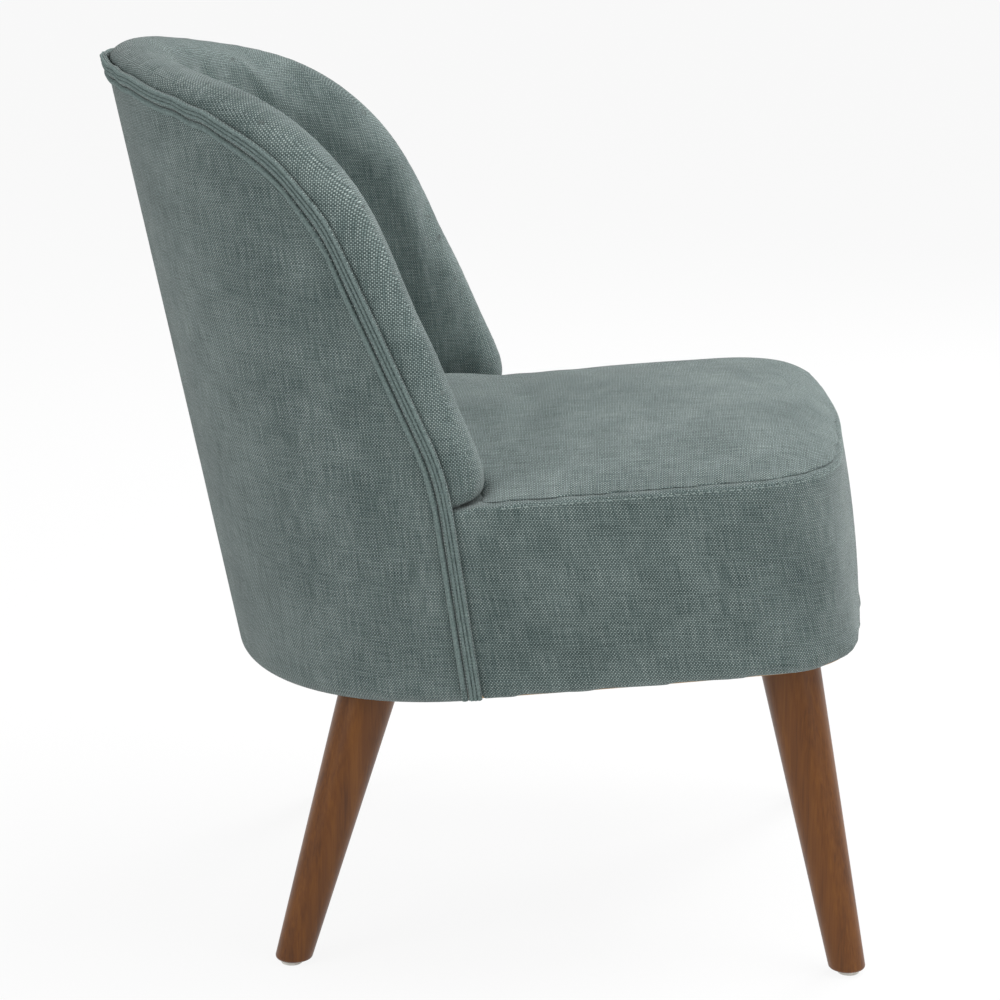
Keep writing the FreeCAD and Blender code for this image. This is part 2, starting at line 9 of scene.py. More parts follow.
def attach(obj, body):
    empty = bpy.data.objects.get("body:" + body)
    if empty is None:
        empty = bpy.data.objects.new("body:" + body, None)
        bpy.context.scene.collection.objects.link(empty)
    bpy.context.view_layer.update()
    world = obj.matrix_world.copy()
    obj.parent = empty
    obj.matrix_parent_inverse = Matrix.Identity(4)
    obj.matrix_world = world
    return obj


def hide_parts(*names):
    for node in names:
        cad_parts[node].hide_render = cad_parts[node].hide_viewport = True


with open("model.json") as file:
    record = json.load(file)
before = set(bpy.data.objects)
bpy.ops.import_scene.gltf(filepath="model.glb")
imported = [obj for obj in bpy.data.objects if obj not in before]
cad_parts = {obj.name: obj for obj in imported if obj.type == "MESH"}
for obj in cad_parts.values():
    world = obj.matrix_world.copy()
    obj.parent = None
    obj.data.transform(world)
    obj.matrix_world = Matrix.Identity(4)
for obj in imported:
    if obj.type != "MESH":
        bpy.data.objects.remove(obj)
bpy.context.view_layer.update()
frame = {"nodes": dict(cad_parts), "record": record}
nodes = frame["nodes"]

# Camera of the photograph: metres and degrees, on a 36 mm sensor.
LOOK_AT = Vector((0.0, -0.0132, 0.3569))
DISTANCE = 2.7295
AZIMUTH = 271.95
ELEVATION = 14.04
LENS = 109.56
SENSOR = 36.0

# Barrel of the body, in metres: half width, rear and front at two guide levels.
GUIDE_LOW_Z = 0.244
GUIDE_HIGH_Z = 0.751
HALF_WIDTH = (0.272, 0.222)
REAR = (0.2206, 0.3278)
FRONT = (-0.339, -0.277)
BARREL_CENTRE_Y = 0.0042
CORNER_RADIUS = 0.078

# Seat: its underside is raked, and its seam lies square to that.
SEAT_RAKE = math.radians(4.6)
SEAT_BOTTOM_Z = 0.2518
SEAM_LEVEL = 0.1625
COVER = 0.002

# Side view of the back's edge, as (y, z), and its two bends.
EDGE_POINTS = ((-0.0194, 0.150), (0.0265, 0.4382), (0.1493, 0.6963), (0.3971, 0.7706))
EDGE_RADII = (0.203, 0.215)

# Padded cloth: mesh size, pressure, stiffness, and how far a point may swell.
VOXEL = 0.005
PRESSURE = 4.0
CLOTH_QUALITY = 6
CLOTH_MASS = 0.3
STIFFNESS = 12
BENDING = 8
LAST_FRAME = 20
SEAT_SWELL = 0.006
BACK_SWELL = 0.0075
FIRST_EVEN_ROUNDS = 2
SEAT_EVEN_ROUNDS = 10
BACK_EVEN_ROUNDS = 3

# Where the cloth is held: at the welt, the seam, the foot of the boxing and the tuck of the back.
EDGE_HOLD = 0.009
SEAT_EDGE_HOLD = EDGE_HOLD * 1.4
EDGE_HOLD_DEPTH = EDGE_HOLD * 3
SEAM_HOLD = VOXEL * 0.6
BOXING_HOLD = 0.014
TUCK_HOLD = 0.004
FACES_OUT = 0.3
FACES_UP = -0.2
BEHIND_ROLL = 0.35
BEHIND_ROLL_DEPTH = 0.024
ROLL_DEPTH = 0.025

# Depth of the seam's valley, and how the ends of the wings come down on the seat.
SEAM_PULL = 0.003
END_REACH = 0.02
END_DROP = 0.004

# Sewing.
STITCH_PITCH = 0.0062
STITCH_LENGTH = 0.0044
STITCH_RADIUS = 0.0006
STITCH_DROP = 0.0042
STITCH_REAR_Y = -0.02

# Ribs along the welt: place across the edge, height over the body, radius.
RIBS = (
    (-0.0034, 0.0032, 0.0013),
    (-0.0004, 0.0032, 0.0013),
    (0.0026, 0.0032, 0.0013),
    (0.0086, 0.0016, 0.0024),
)
RIB_FOOT = 0.004
PUCKER = 0.0008
PUCKER_LENGTH = 0.047
PUCKER_DRIFT = 0.11
PUCKER_SWING = 1.3
PUCKER_FROM_Z = 0.5
PUCKER_FULL_Z = 0.62
WELT_FOOT_LEVEL = 0.004

# Steps along the edge of the back: each bend, the straight sides, the rear, and points for measuring.
BEND_STEPS = 12
SIDE_STEPS = 8
REAR_STEPS = 60
SETTLE_STEPS = 12
EDGE_SAMPLES = 300

# Studio.
FLOOR_REACH = 12.0
FLOOR_COLOUR = "#f2f2f2"
FLOOR_WHITE = 0.9
SURROUND_LIGHT = 0.45
# Lamp, place, size and power.
LAMPS = (
    ("overhead", (0.1, -1.1, 2.6), 1.9, 52.0),
    ("crest_light", (1.9, -1.5, 1.7), 0.9, 38.0),
    ("front_fill", (-1.9, -2.4, 1.3), 1.6, 14.0),
    ("rear_fill", (-1.8, 2.0, 1.5), 1.4, 25.0),
)

SEAT_UP = Vector((0.0, math.sin(SEAT_RAKE), math.cos(SEAT_RAKE)))
SEAT_BASE = Vector((0.0, 0.0, SEAT_BOTTOM_Z))


# Weave: thread pitch and cloud size in metres, length of a slub in threads, and the dyes.
THREAD_PITCH = 0.00138
CLOUD_SIZE = 0.055
SLUB_LENGTH = 18
FABRIC_STOPS = ((0.22, "#334241"), (0.5, "#677775"), (0.8, "#a3b0ad"))
LEG_STOPS = ((0.25, "#4a2603"), (0.5, "#673a08"), (0.78, "#7d4c12"))
FRAME_STOPS = ((0.3, "#a98560"), (0.5, "#c4a27a"), (0.7, "#d5b892"))


def linear(colour):
    """sRGB hex to a linear colour with alpha."""
    parts = [int(colour[i:i + 2], 16) / 255 for i in (1, 3, 5)]
    return tuple(p / 12.92 if p <= 0.04045 else ((p + 0.055) / 1.055) ** 2.4 for p in parts) + (1.0,)


def add(tree, kind, inputs=None, **settings):
    """Adds a node with its settings; an input is a value or another node's socket."""
    node = tree.nodes.new(kind)
    for name, value in settings.items():
        setattr(node, name, value)
    for name, value in (inputs or {}).items():
        if isinstance(value, bpy.types.NodeSocket):
            tree.links.new(value, node.inputs[name])
        else:
            node.inputs[name].default_value = value
    return node


def new_material(name):
    """A material with its node tree and its shader."""
    material = bpy.data.materials.new(name)
    material.use_nodes = True
    tree = material.node_tree
    return material, tree, tree.nodes["Principled BSDF"]


def ramp(tree, factor, stops):
    """Colour ramp from (place, hex) pairs."""
    node = add(tree, "ShaderNodeValToRGB", {"Fac": factor})
    elements = node.color_ramp.elements
    while len(elements) < len(stops):
        elements.new(0.5)
    for element, (place, colour) in zip(elements, stops):
        element.position = place
        element.color = linear(colour)
    return node.outputs["Color"]


def basket_weave(name, pitch, stops):
    """Woven chenille and linen: a checker of soft thread crowns, slubs along the threads, faint clouds,
    painted shade in the gaps between the crowns and painted highlight on their tops.
    """
    material, tree, surface = new_material(name)
    uv = add(tree, "ShaderNodeTexCoord").outputs["UV"]
    turns = add(tree, "ShaderNodeVectorMath", {0: uv, "Scale": math.pi / pitch}, operation="SCALE")
    axes = add(tree, "ShaderNodeSeparateXYZ", {0: turns.outputs[0]})
    across = add(tree, "ShaderNodeMath", {0: axes.outputs["X"]}, operation="SINE")
    along = add(tree, "ShaderNodeMath", {0: axes.outputs["Y"]}, operation="SINE")
    checker = add(tree, "ShaderNodeMath", {0: across.outputs[0], 1: along.outputs[0]},
                  operation="MULTIPLY")
    size = add(tree, "ShaderNodeMath", {0: checker.outputs[0]}, operation="ABSOLUTE")
    crown = add(tree, "ShaderNodeMath", {0: size.outputs[0], 1: 0.5}, operation="POWER")
    warp_up = add(tree, "ShaderNodeMapRange", {"Value": checker.outputs[0], "From Min": -0.35,
                                               "From Max": 0.35})
    slubs = []
    for stretch in ((1 / pitch, 1 / (SLUB_LENGTH * pitch), 1), (1 / (SLUB_LENGTH * pitch), 1 / pitch, 1)):
        run = add(tree, "ShaderNodeMapping", {"Vector": uv, "Scale": stretch})
        slubs.append(add(tree, "ShaderNodeTexNoise", {"Vector": run.outputs[0], "Scale": 1.0,
                                                      "Detail": 3.0}))
    tone = add(tree, "ShaderNodeMix", {"Factor": warp_up.outputs[0], "A": slubs[1].outputs[0],
                                       "B": slubs[0].outputs[0]})
    calm = add(tree, "ShaderNodeMapRange", {"Value": tone.outputs[0], "To Min": 0.16, "To Max": 0.84})
    lift = add(tree, "ShaderNodeMapRange", {"Value": warp_up.outputs[0], "To Min": -0.12,
                                            "To Max": 0.12})
    lifted = add(tree, "ShaderNodeMath", {0: calm.outputs[0], 1: lift.outputs[0]}, operation="ADD")
    place = add(tree, "ShaderNodeTexCoord").outputs["Object"]
    cloud = add(tree, "ShaderNodeTexNoise", {"Vector": place, "Scale": 1 / CLOUD_SIZE, "Detail": 4.0,
                                             "Roughness": 0.6})
    cloudy = add(tree, "ShaderNodeMapRange", {"Value": cloud.outputs[0], "From Min": 0.3, "From Max": 0.7,
                                              "To Min": -0.06, "To Max": 0.06})
    shade = add(tree, "ShaderNodeMath", {0: lifted.outputs[0], 1: cloudy.outputs[0]}, operation="ADD")
    dyed = ramp(tree, shade.outputs[0], stops)
    # Painted shade and painted highlight: the dyed colour falls to near black in the gaps between thread
    # crowns and rises above the dye on the crown tops.
    painted_crown_light_and_gap_shade = add(tree, "ShaderNodeMapRange", {"Value": crown.outputs[0], "To Min": 0.03, "To Max": 1.48})
    colour = add(tree, "ShaderNodeVectorMath", {0: dyed, "Scale": painted_crown_light_and_gap_shade.outputs[0]}, operation="SCALE")
    tree.links.new(colour.outputs[0], surface.inputs["Base Color"])
    fuzz = add(tree, "ShaderNodeMath", {0: crown.outputs[0], 1: tone.outputs[0]}, operation="MULTIPLY")
    bump = add(tree, "ShaderNodeBump", {"Height": fuzz.outputs[0], "Strength": 1.0, "Distance": 0.001})
    tree.links.new(bump.outputs[0], surface.inputs["Normal"])
    surface.inputs["Roughness"].default_value = 0.92
    surface.inputs["Specular IOR Level"].default_value = 0.15
    surface.inputs["Sheen Weight"].default_value = 0.3
    surface.inputs["Sheen Roughness"].default_value = 0.35
    return material


def grained_wood(name, stops, grain, length, roughness, coat):
    """Timber with fine lines of grain along Z; stained and lacquered where it has a coat."""
    material, tree, surface = new_material(name)
    place = add(tree, "ShaderNodeTexCoord").outputs["Object"]
    run = add(tree, "ShaderNodeMapping", {"Vector": place, "Scale": (1 / grain, 1 / grain, 1 / length)})
    lines = add(tree, "ShaderNodeTexNoise", {"Vector": run.outputs[0], "Scale": 1.0, "Detail": 6.0,
                                             "Distortion": 0.4})
    broad = add(tree, "ShaderNodeTexNoise", {"Vector": run.outputs[0], "Scale": 0.17, "Detail": 2.0})
    figure = add(tree, "ShaderNodeMix", {"Factor": 0.45, "A": lines.outputs[0], "B": broad.outputs[0]})
    tree.links.new(ramp(tree, figure.outputs[0], stops), surface.inputs["Base Color"])
    bump = add(tree, "ShaderNodeBump", {"Height": lines.outputs[0], "Strength": 0.08, "Distance": 0.0004})
    tree.links.new(bump.outputs[0], surface.inputs["Normal"])
    surface.inputs["Roughness"].default_value = roughness
    surface.inputs["Specular IOR Level"].default_value = 0.3
    surface.inputs["Coat Weight"].default_value = coat
    surface.inputs["Coat Roughness"].default_value = 0.22
    return material


def speckled(name, stops, grain, roughness, metallic=0.0):
    """A finish whose colour and relief vary over a grain of the given size."""
    material, tree, surface = new_material(name)
    place = add(tree, "ShaderNodeTexCoord").outputs["Object"]
    noise = add(tree, "ShaderNodeTexNoise", {"Vector": place, "Scale": 1 / grain, "Detail": 3.0})
    tree.links.new(ramp(tree, noise.outputs[0], stops), surface.inputs["Base Color"])
    bump = add(tree, "ShaderNodeBump", {"Height": noise.outputs[0], "Strength": 0.2,
                                        "Distance": grain / 8})
    tree.links.new(bump.outputs[0], surface.inputs["Normal"])
    surface.inputs["Roughness"].default_value = roughness
    surface.inputs["Metallic"].default_value = metallic
    return material


materials = {
    # Basket-woven chenille and linen: lighter and darker dots of thread with painted shade between them
    # and painted highlight on their tops, matt, soft sheen at the edges.
    "woven_fabric": basket_weave("chenille_linen_weave", THREAD_PITCH, FABRIC_STOPS),
    # Beech stained walnut, satin lacquer: fine dark grain under soft reflections.
    "leg_wood": grained_wood("walnut_stained_beech", LEG_STOPS, 0.0018, 0.12, 0.42, 0.16),
    # Sawn beech, pale and dry.
    "frame_wood": grained_wood("sawn_beech", FRAME_STOPS, 0.003, 0.06, 0.75, 0.0),
    # Hardboard: brown pressed fibre.
    "fibreboard": speckled("hardboard", ((0.3, "#6b4c31"), (0.7, "#8d6a48")), 0.004, 0.8),
    # Polyurethane foam: cream, open cells.
    "foam": speckled("polyurethane_foam", ((0.3, "#d9cda6"), (0.7, "#efe6c8")), 0.002, 0.95),
    # Polyester wadding: white fluff.
    "wadding": speckled("polyester_wadding", ((0.3, "#e4e4e0"), (0.7, "#f4f4f1")), 0.006, 1.0),
    # Needled felt: grey mixed fibre.
    "felt": speckled("needled_felt", ((0.3, "#77736f"), (0.7, "#a19c96")), 0.003, 1.0),
    # Elastic webbing: dark brown rubberised strap.
    "webbing": speckled("elastic_webbing", ((0.3, "#2b241e"), (0.7, "#4b4037")), 0.002, 0.85),
    # Spun-bonded lining: black, matt, a little fibrous.
    "black_lining": speckled("spunbond_lining", ((0.3, "#151515"), (0.7, "#262626")), 0.002, 0.9),
    # Polyethylene: milky, satin.
    "glide_plastic": speckled("polyethylene", ((0.3, "#dcdad2"), (0.7, "#ecebe5")), 0.005, 0.4),
    # Zinc-plated steel.
    "steel": speckled("zinc_plated_steel", ((0.3, "#9a9a98"), (0.7, "#b9b9b6")), 0.002, 0.35, 1.0),
}
# Sewing thread: twisted polyester, a little paler than the cloth.
thread = speckled("polyester_thread", ((0.3, "#6f7f7c"), (0.7, "#97a5a1")), 0.0015, 0.8)
# Ribs of the welt: the same chenille, drawn tight over its filling cords.
ribs = speckled("chenille_rib", ((0.3, "#4d5c5b"), (0.7, "#7c8c89")), 0.0012, 0.95)


def guide(pair, z):
    """Size at a height, from its values at the two guide levels."""
    share = (z - GUIDE_LOW_Z) / (GUIDE_HIGH_Z - GUIDE_LOW_Z)
    return pair[0] + (pair[1] - pair[0]) * share


def seat_level(points):
    """Height over the seat's raked underside."""
    return (points - np.array(SEAT_BASE)) @ np.array(SEAT_UP)


def round_the_body(points):
    """(girth, inward depth, outward direction) of points on or in the body."""
    x, y, z = points.T
    wide, deep = guide(HALF_WIDTH, z), guide(REAR, z) - BARREL_CENTRE_Y
    side = np.abs(x)
    past = y - BARREL_CENTRE_Y
    turn = np.arctan2(np.maximum(past, 0) / deep, side / wide)
    girth = np.where(past > 0, turn * (wide + deep) / 2, past)
    corner_y = guide(FRONT, z) + CORNER_RADIUS
    corner_x = wide - CORNER_RADIUS
    ahead = corner_y - y
    bend = np.arctan2(np.maximum(ahead, 0), np.maximum(side - corner_x, 0))
    to_front = np.maximum(corner_x - side, 0)
    front_girth = corner_y - BARREL_CENTRE_Y - CORNER_RADIUS * bend - to_front
    girth = np.where(ahead > 0, front_girth, girth)
    share = np.sqrt((side / wide) ** 2 + (np.maximum(past, 0) / deep) ** 2)
    depth = (1 - share) * np.where(past > 0, (wide + deep) / 2, wide)
    out = np.stack([x / wide ** 2, np.maximum(past, 0) / deep ** 2, np.zeros_like(x)], 1)
    out /= np.maximum(np.linalg.norm(out, axis=1, keepdims=True), 1e-9)
    return girth, depth, out


def lay_weave(piece, flat_top):
    """UV map in metres: threads run round the body and up it, and across the top of the seat."""
    mesh = piece.data
    points = vertex_arrays(piece)[0]
    corners = np.zeros(len(mesh.loops), int)
    mesh.loops.foreach_get("vertex_index", corners)
    sides = np.zeros(len(mesh.polygons), int)
    mesh.polygons.foreach_get("loop_total", sides)
    normals = np.zeros(len(mesh.polygons) * 3)
    mesh.polygons.foreach_get("normal", normals)
    normals = np.abs(np.repeat(normals.reshape(-1, 3), sides, axis=0))
    girth, depth, out = round_the_body(points)
    x, y, z = points.T
    wide, deep = guide(HALF_WIDTH, z), guide(REAR, z) - BARREL_CENTRE_Y
    front_middle = guide(FRONT, z) - BARREL_CENTRE_Y - wide + CORNER_RADIUS * (2 - math.pi / 2)
    rear_middle = (wide + deep) / 2 * math.pi / 2
    around = np.sign(x) * (girth - front_middle if flat_top else rear_middle - girth)
    wall = np.stack([around, z], 1)[corners]
    lid = np.stack([x, y] if flat_top else [around, depth], 1)[corners]
    end = np.stack([depth, z], 1)[corners]
    radial = np.abs((normals * np.abs(out[corners])).sum(1))
    up = normals[:, 2]
    level = np.sqrt(np.maximum(0, 1 - radial ** 2 - up ** 2))
    uv = np.where((up > np.maximum(radial, level))[:, None], lid, wall)
    if not flat_top:
        uv = np.where((level > np.maximum(radial, up))[:, None], end, uv)
    layer = mesh.uv_layers.new(name="weave")
    layer.data.foreach_set("uv", uv.ravel())


def place_piece(piece, slot, stands_for=(), material=None):
    """Gives a piece its finish and its body, and hides the CAD nodes that it stands for."""
    piece.data.materials.clear()
    piece.data.materials.append(material or materials[slot])
    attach(piece, "root")
    if stands_for:
        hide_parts(*stands_for)
    return piece


def object_from(bm, name):
    """A new object in the scene from a bmesh."""
    mesh = bpy.data.meshes.new(name)
    bm.to_mesh(mesh)
    bm.free()
    piece = bpy.data.objects.new(name, mesh)
    bpy.context.scene.collection.objects.link(piece)
    return piece


def merged_copy(name, *sources):
    """One new object from copies of CAD nodes, with their loose triangles joined."""
    bm = bmesh.new()
    for source in sources:
        bm.from_mesh(nodes[source].data)
    bmesh.ops.remove_doubles(bm, verts=bm.verts, dist=1e-6)
    return object_from(bm, name)


SMOOTH_ANGLE = math.radians(35)


def smooth(piece, limit=SMOOTH_ANGLE):
    """Smooth shading, broken only at real corners."""
    bm = bmesh.new()
    bm.from_mesh(piece.data)
    for face in bm.faces:
        face.smooth = True
    for edge in bm.edges:
        edge.smooth = len(edge.link_faces) == 2 and edge.calc_face_angle(0.0) < limit
    bm.to_mesh(piece.data)
    bm.free()
    return piece


def settle_modifiers(piece):
    """Makes the piece's modifiers part of its mesh."""
    graph = bpy.context.evaluated_depsgraph_get()
    mesh = bpy.data.meshes.new_from_object(piece.evaluated_get(graph))
    piece.modifiers.clear()
    piece.data = mesh


def remeshed(piece):
    """Turns a piece into an even mesh of small squares."""
    step = piece.modifiers.new("even_mesh", "REMESH")
    step.mode = "VOXEL"
    step.voxel_size = VOXEL
    step.use_smooth_shade = True
    settle_modifiers(piece)
    return piece


def vertex_arrays(piece):
    """Places and normals of a piece's points."""
    mesh = piece.data
    points = np.zeros(len(mesh.vertices) * 3)
    normals = np.zeros(len(mesh.vertices) * 3)
    mesh.vertices.foreach_get("co", points)
    mesh.vertices.foreach_get("normal", normals)
    return points.reshape(-1, 3), normals.reshape(-1, 3)


def set_points(piece, points):
    """Moves a piece's points to new places."""
    piece.data.vertices.foreach_set("co", points.ravel())
    piece.data.update()


def plump(piece, held, swell):
    """Swells the free cloth of a padded piece under pressure; no point moves further than swell."""
    start, normals = vertex_arrays(piece)
    pins = piece.vertex_groups.new(name="held")
    pins.add([int(i) for i in np.flatnonzero(held)], 1.0, "REPLACE")
    cloth = piece.modifiers.new("cloth", "CLOTH")
    cloth.settings.quality = CLOTH_QUALITY
    cloth.settings.mass = CLOTH_MASS
    cloth.settings.tension_stiffness = STIFFNESS
    cloth.settings.compression_stiffness = STIFFNESS
    cloth.settings.bending_stiffness = BENDING
    cloth.settings.vertex_group_mass = "held"
    cloth.settings.use_pressure = True
    cloth.settings.uniform_pressure_force = PRESSURE
    cloth.settings.effector_weights.gravity = 0
    cloth.point_cache.frame_start = 1
    cloth.point_cache.frame_end = LAST_FRAME
    for step in range(1, LAST_FRAME + 1):
        bpy.context.scene.frame_set(step)
    settle_modifiers(piece)
    bpy.context.scene.frame_set(1)
    piece.vertex_groups.clear()
    points, normals = vertex_arrays(piece)
    moved = points - start
    length = np.linalg.norm(moved, axis=1, keepdims=True)
    set_points(piece, start + moved * np.minimum(1, swell / np.maximum(length, 1e-9)))


def even_out(piece, held, rounds):
    """Eases small wrinkles out of the cloth that isn't held."""
    bm = bmesh.new()
    bm.from_mesh(piece.data)
    bm.verts.ensure_lookup_table()
    free = [bm.verts[int(i)] for i in np.flatnonzero(~held)]
    for step in range(rounds):
        bmesh.ops.smooth_vert(bm, verts=free, factor=0.5, use_axis_x=True, use_axis_y=True,
                              use_axis_z=True)
    bm.to_mesh(piece.data)
    bm.free()


def finer(piece):
    """One smooth subdivision."""
    step = piece.modifiers.new("finer", "SUBSURF")
    step.levels = 1
    step.render_levels = 1
    for face in piece.data.polygons:
        face.use_smooth = True


def part_at_seam(piece, name, above):
    """The half of a piece on one side of the seat's seam, closed at the cut."""
    bm = bmesh.new()
    bm.from_mesh(piece.data)
    crease = bm.edges.layers.float.new("crease_edge")
    everything = bm.verts[:] + bm.edges[:] + bm.faces[:]
    seam_at = SEAT_BASE + SEAT_UP * SEAM_LEVEL
    cut = bmesh.ops.bisect_plane(bm, geom=everything, plane_co=seam_at, plane_no=SEAT_UP,
                                 clear_inner=above, clear_outer=not above)
    rim = [e for e in cut["geom_cut"] if isinstance(e, bmesh.types.BMEdge)]
    rim_verts = [v for v in cut["geom_cut"] if isinstance(v, bmesh.types.BMVert)]
    for edge in rim:
        edge[crease] = 1.0
    bmesh.ops.triangle_fill(bm, edges=rim, use_beauty=True, use_dissolve=False)
    for vert in rim_verts:
        outward = Vector((vert.co.x, vert.co.y - BARREL_CENTRE_Y, 0.0)).normalized()
        vert.co -= outward * SEAM_PULL
    return object_from(bm, name)


def edge_profile(shift):
    """Side view of the back's edge moved back by shift, as dense (y, z) points."""
    corners = [Vector(p) for p in EDGE_POINTS]
    ways = [(b - a).normalized() for a, b in zip(corners, corners[1:])]
    run = [corners[0]]
    for corner, before, after, radius in zip(corners[1:], ways, ways[1:], EDGE_RADII):
        turn = before.angle(after)
        reach = radius * math.tan(turn / 2)
        centre = corner + (after - before).normalized() * (radius / math.cos(turn / 2))
        first = corner - before * reach - centre
        for share in np.linspace(0, 1, BEND_STEPS):
            run.append(centre + Matrix.Rotation(-turn * share, 2) @ first)
    run.append(corners[3])
    run = np.array(run)
    ways = np.gradient(run, axis=0)
    ways /= np.linalg.norm(ways, axis=1, keepdims=True)
    return run + np.stack([ways[:, 1], -ways[:, 0]], 1) * shift


def off_edge(points):
    """Distance of points from the back's edge, in side view."""
    profile = edge_profile(0.0)
    steps = np.linspace(0, len(profile) - 1, EDGE_SAMPLES)
    dense = np.stack([np.interp(steps, np.arange(len(profile)), profile[:, k]) for k in (0, 1)], 1)
    nearest = np.full(len(points), np.inf)
    for place in dense:
        nearest = np.minimum(nearest, np.hypot(points[:, 1] - place[0], points[:, 2] - place[1]))
    return nearest


def make_seat():
    """Crowned top and boxing of the tight seat, from one swollen block drawn in along its seam."""
    block = remeshed(merged_copy("seat_block", "seat_foam", "boxing_wadding", "seat_boxing_cover"))
    points, normals = vertex_arrays(block)
    girth, depth, out = round_the_body(points)
    at_welt = (off_edge(points) < SEAT_EDGE_HOLD) & (depth < EDGE_HOLD_DEPTH)
    even_out(block, at_welt, FIRST_EVEN_ROUNDS)
    points, normals = vertex_arrays(block)
    level = seat_level(points)
    near_seam = np.abs(level - SEAM_LEVEL) < SEAM_HOLD
    outer = (normals * out).sum(1) > FACES_OUT
    front = points[:, 1] < guide(FRONT, points[:, 2]) + CORNER_RADIUS
    facing = outer | (front & (normals[:, 1] < -FACES_OUT))
    top = (level > SEAM_LEVEL) & (normals[:, 2] > FACES_UP)
    shown = top | facing
    held = ~shown | (level < BOXING_HOLD) | near_seam | at_welt
    set_points(block, points - normals * np.where(held & ~near_seam, 0, COVER)[:, None])
    plump(block, held, SEAT_SWELL)
    even_out(block, held, SEAT_EVEN_ROUNDS)
    top_piece = part_at_seam(block, "seat_top", True)
    side_piece = part_at_seam(block, "seat_boxing", False)
    bpy.data.objects.remove(block)
    for piece, stands_for in ((top_piece, ("seat_top_cover", "seat_foam")),
                              (side_piece, ("seat_boxing_cover", "boxing_wadding"))):
        lay_weave(piece, True)
        finer(piece)
        place_piece(piece, "woven_fabric", stands_for)
    return side_piece


def make_inside_back():
    """Inside of the back, one panel from the seat up and over the rolled edge."""
    piece = remeshed(merged_copy("inside_back", "inside_back_foam", "inside_back_cover"))
    points, normals = vertex_arrays(piece)
    girth, depth, out = round_the_body(points)
    outward = (normals * out).sum(1)
    level = seat_level(points)
    at_welt = (off_edge(points) < EDGE_HOLD) & (depth < EDGE_HOLD_DEPTH)
    behind = (outward > BEHIND_ROLL) & (depth > BEHIND_ROLL_DEPTH)
    held = behind | (level < SEAM_LEVEL + TUCK_HOLD) | at_welt
    drop = np.clip((SEAM_LEVEL + END_REACH - level) / END_REACH, 0, 1) * END_DROP
    points = points - drop[:, None] * np.array(SEAT_UP)
    inside = np.clip((depth - ROLL_DEPTH) / ROLL_DEPTH, 0, 1)
    set_points(piece, points - normals * np.where(held, 0, COVER * inside)[:, None])
    plump(piece, held, BACK_SWELL)
    even_out(piece, held, BACK_EVEN_ROUNDS)
    lay_weave(piece, False)
    finer(piece)
    place_piece(piece, "woven_fabric", ("inside_back_cover", "inside_back_foam"))


def make_outside_back():
    """Outside back: one taut panel over thin wadding."""
    piece = smooth(merged_copy("outside_back", "outside_back_cover"))
    lay_weave(piece, False)
    place_piece(piece, "woven_fabric", ("outside_back_cover", "outside_back_wadding"))


def edge_path(shift, proud):
    """Points along the edge of the back, from one side over the rear to the other."""
    profile = edge_profile(shift)
    half = []
    bottom = SEAT_BOTTOM_Z + RIB_FOOT
    side_top = np.interp(BARREL_CENTRE_Y, profile[:, 0], profile[:, 1])
    for z in np.linspace(bottom, side_top, SIDE_STEPS):
        y = float(np.interp(z, profile[:, 1], profile[:, 0]))
        half.append((guide(HALF_WIDTH, z) + proud, y, z))
    for angle in np.radians(np.linspace(0, 90, REAR_STEPS)[1:]):
        z = side_top
        for step in range(SETTLE_STEPS):
            y = BARREL_CENTRE_Y + (guide(REAR, z) - BARREL_CENTRE_Y + proud) * math.sin(angle)
            z = float(np.interp(y, profile[:, 0], profile[:, 1]))
        half.append(((guide(HALF_WIDTH, z) + proud) * math.cos(angle), y, z))
    return half + [(-x, y, z) for x, y, z in reversed(half[:-1])]


def pucker(piece):
    """Small waves along the welt where it turns over the shoulders and the top."""
    points, normals = vertex_arrays(piece)
    girth, depth, out = round_the_body(points)
    share = np.clip((points[:, 2] - PUCKER_FROM_Z) / (PUCKER_FULL_Z - PUCKER_FROM_Z), 0, 1)
    drift = PUCKER_SWING * np.sin(2 * np.pi * girth / PUCKER_DRIFT)
    points[:, 2] += PUCKER * share * np.sin(2 * np.pi * girth / PUCKER_LENGTH + drift)
    set_points(piece, points)


def end_at_foot(piece):
    """Cuts the welt off level with the underside of the seat."""
    bm = bmesh.new()
    bm.from_mesh(piece.data)
    cut = bmesh.ops.bisect_plane(bm, geom=bm.verts[:] + bm.edges[:] + bm.faces[:], plane_no=SEAT_UP,
                                 plane_co=SEAT_BASE + SEAT_UP * WELT_FOOT_LEVEL, clear_inner=True)
    rim = [e for e in cut["geom_cut"] if isinstance(e, bmesh.types.BMEdge)]
    bmesh.ops.triangle_fill(bm, edges=rim, use_beauty=True, use_dissolve=False)
    bm.to_mesh(piece.data)
    bm.free()


def make_welt():
    """Welt cord and folded edge, with three ribs along the cord and one along the fold."""
    for node in ("welt_cord", "welt_fold"):
        piece = merged_copy(node + "_cloth", node)
        end_at_foot(piece)
        pucker(piece)
        smooth(piece)
        lay_weave(piece, False)
        place_piece(piece, "woven_fabric", (node,))
    for number, (shift, proud, radius) in enumerate(RIBS, 1):
        points = edge_path(shift, proud)
        curve = bpy.data.curves.new("rib", "CURVE")
        curve.dimensions = "3D"
        curve.bevel_depth = radius
        curve.bevel_resolution = 2
        line = curve.splines.new("POLY")
        line.points.add(len(points) - 1)
        for target, point in zip(line.points, points):
            target.co = (*point, 1)
        rib_line = bpy.data.objects.new("rib", curve)
        bpy.context.scene.collection.objects.link(rib_line)
        graph = bpy.context.evaluated_depsgraph_get()
        mesh = bpy.data.meshes.new_from_object(rib_line.evaluated_get(graph))
        bpy.data.objects.remove(rib_line)
        rib = bpy.data.objects.new("welt_rib_%d" % number, mesh)
        bpy.context.scene.collection.objects.link(rib)
        end_at_foot(rib)
        pucker(rib)
        place_piece(smooth(rib), "woven_fabric", (), ribs)


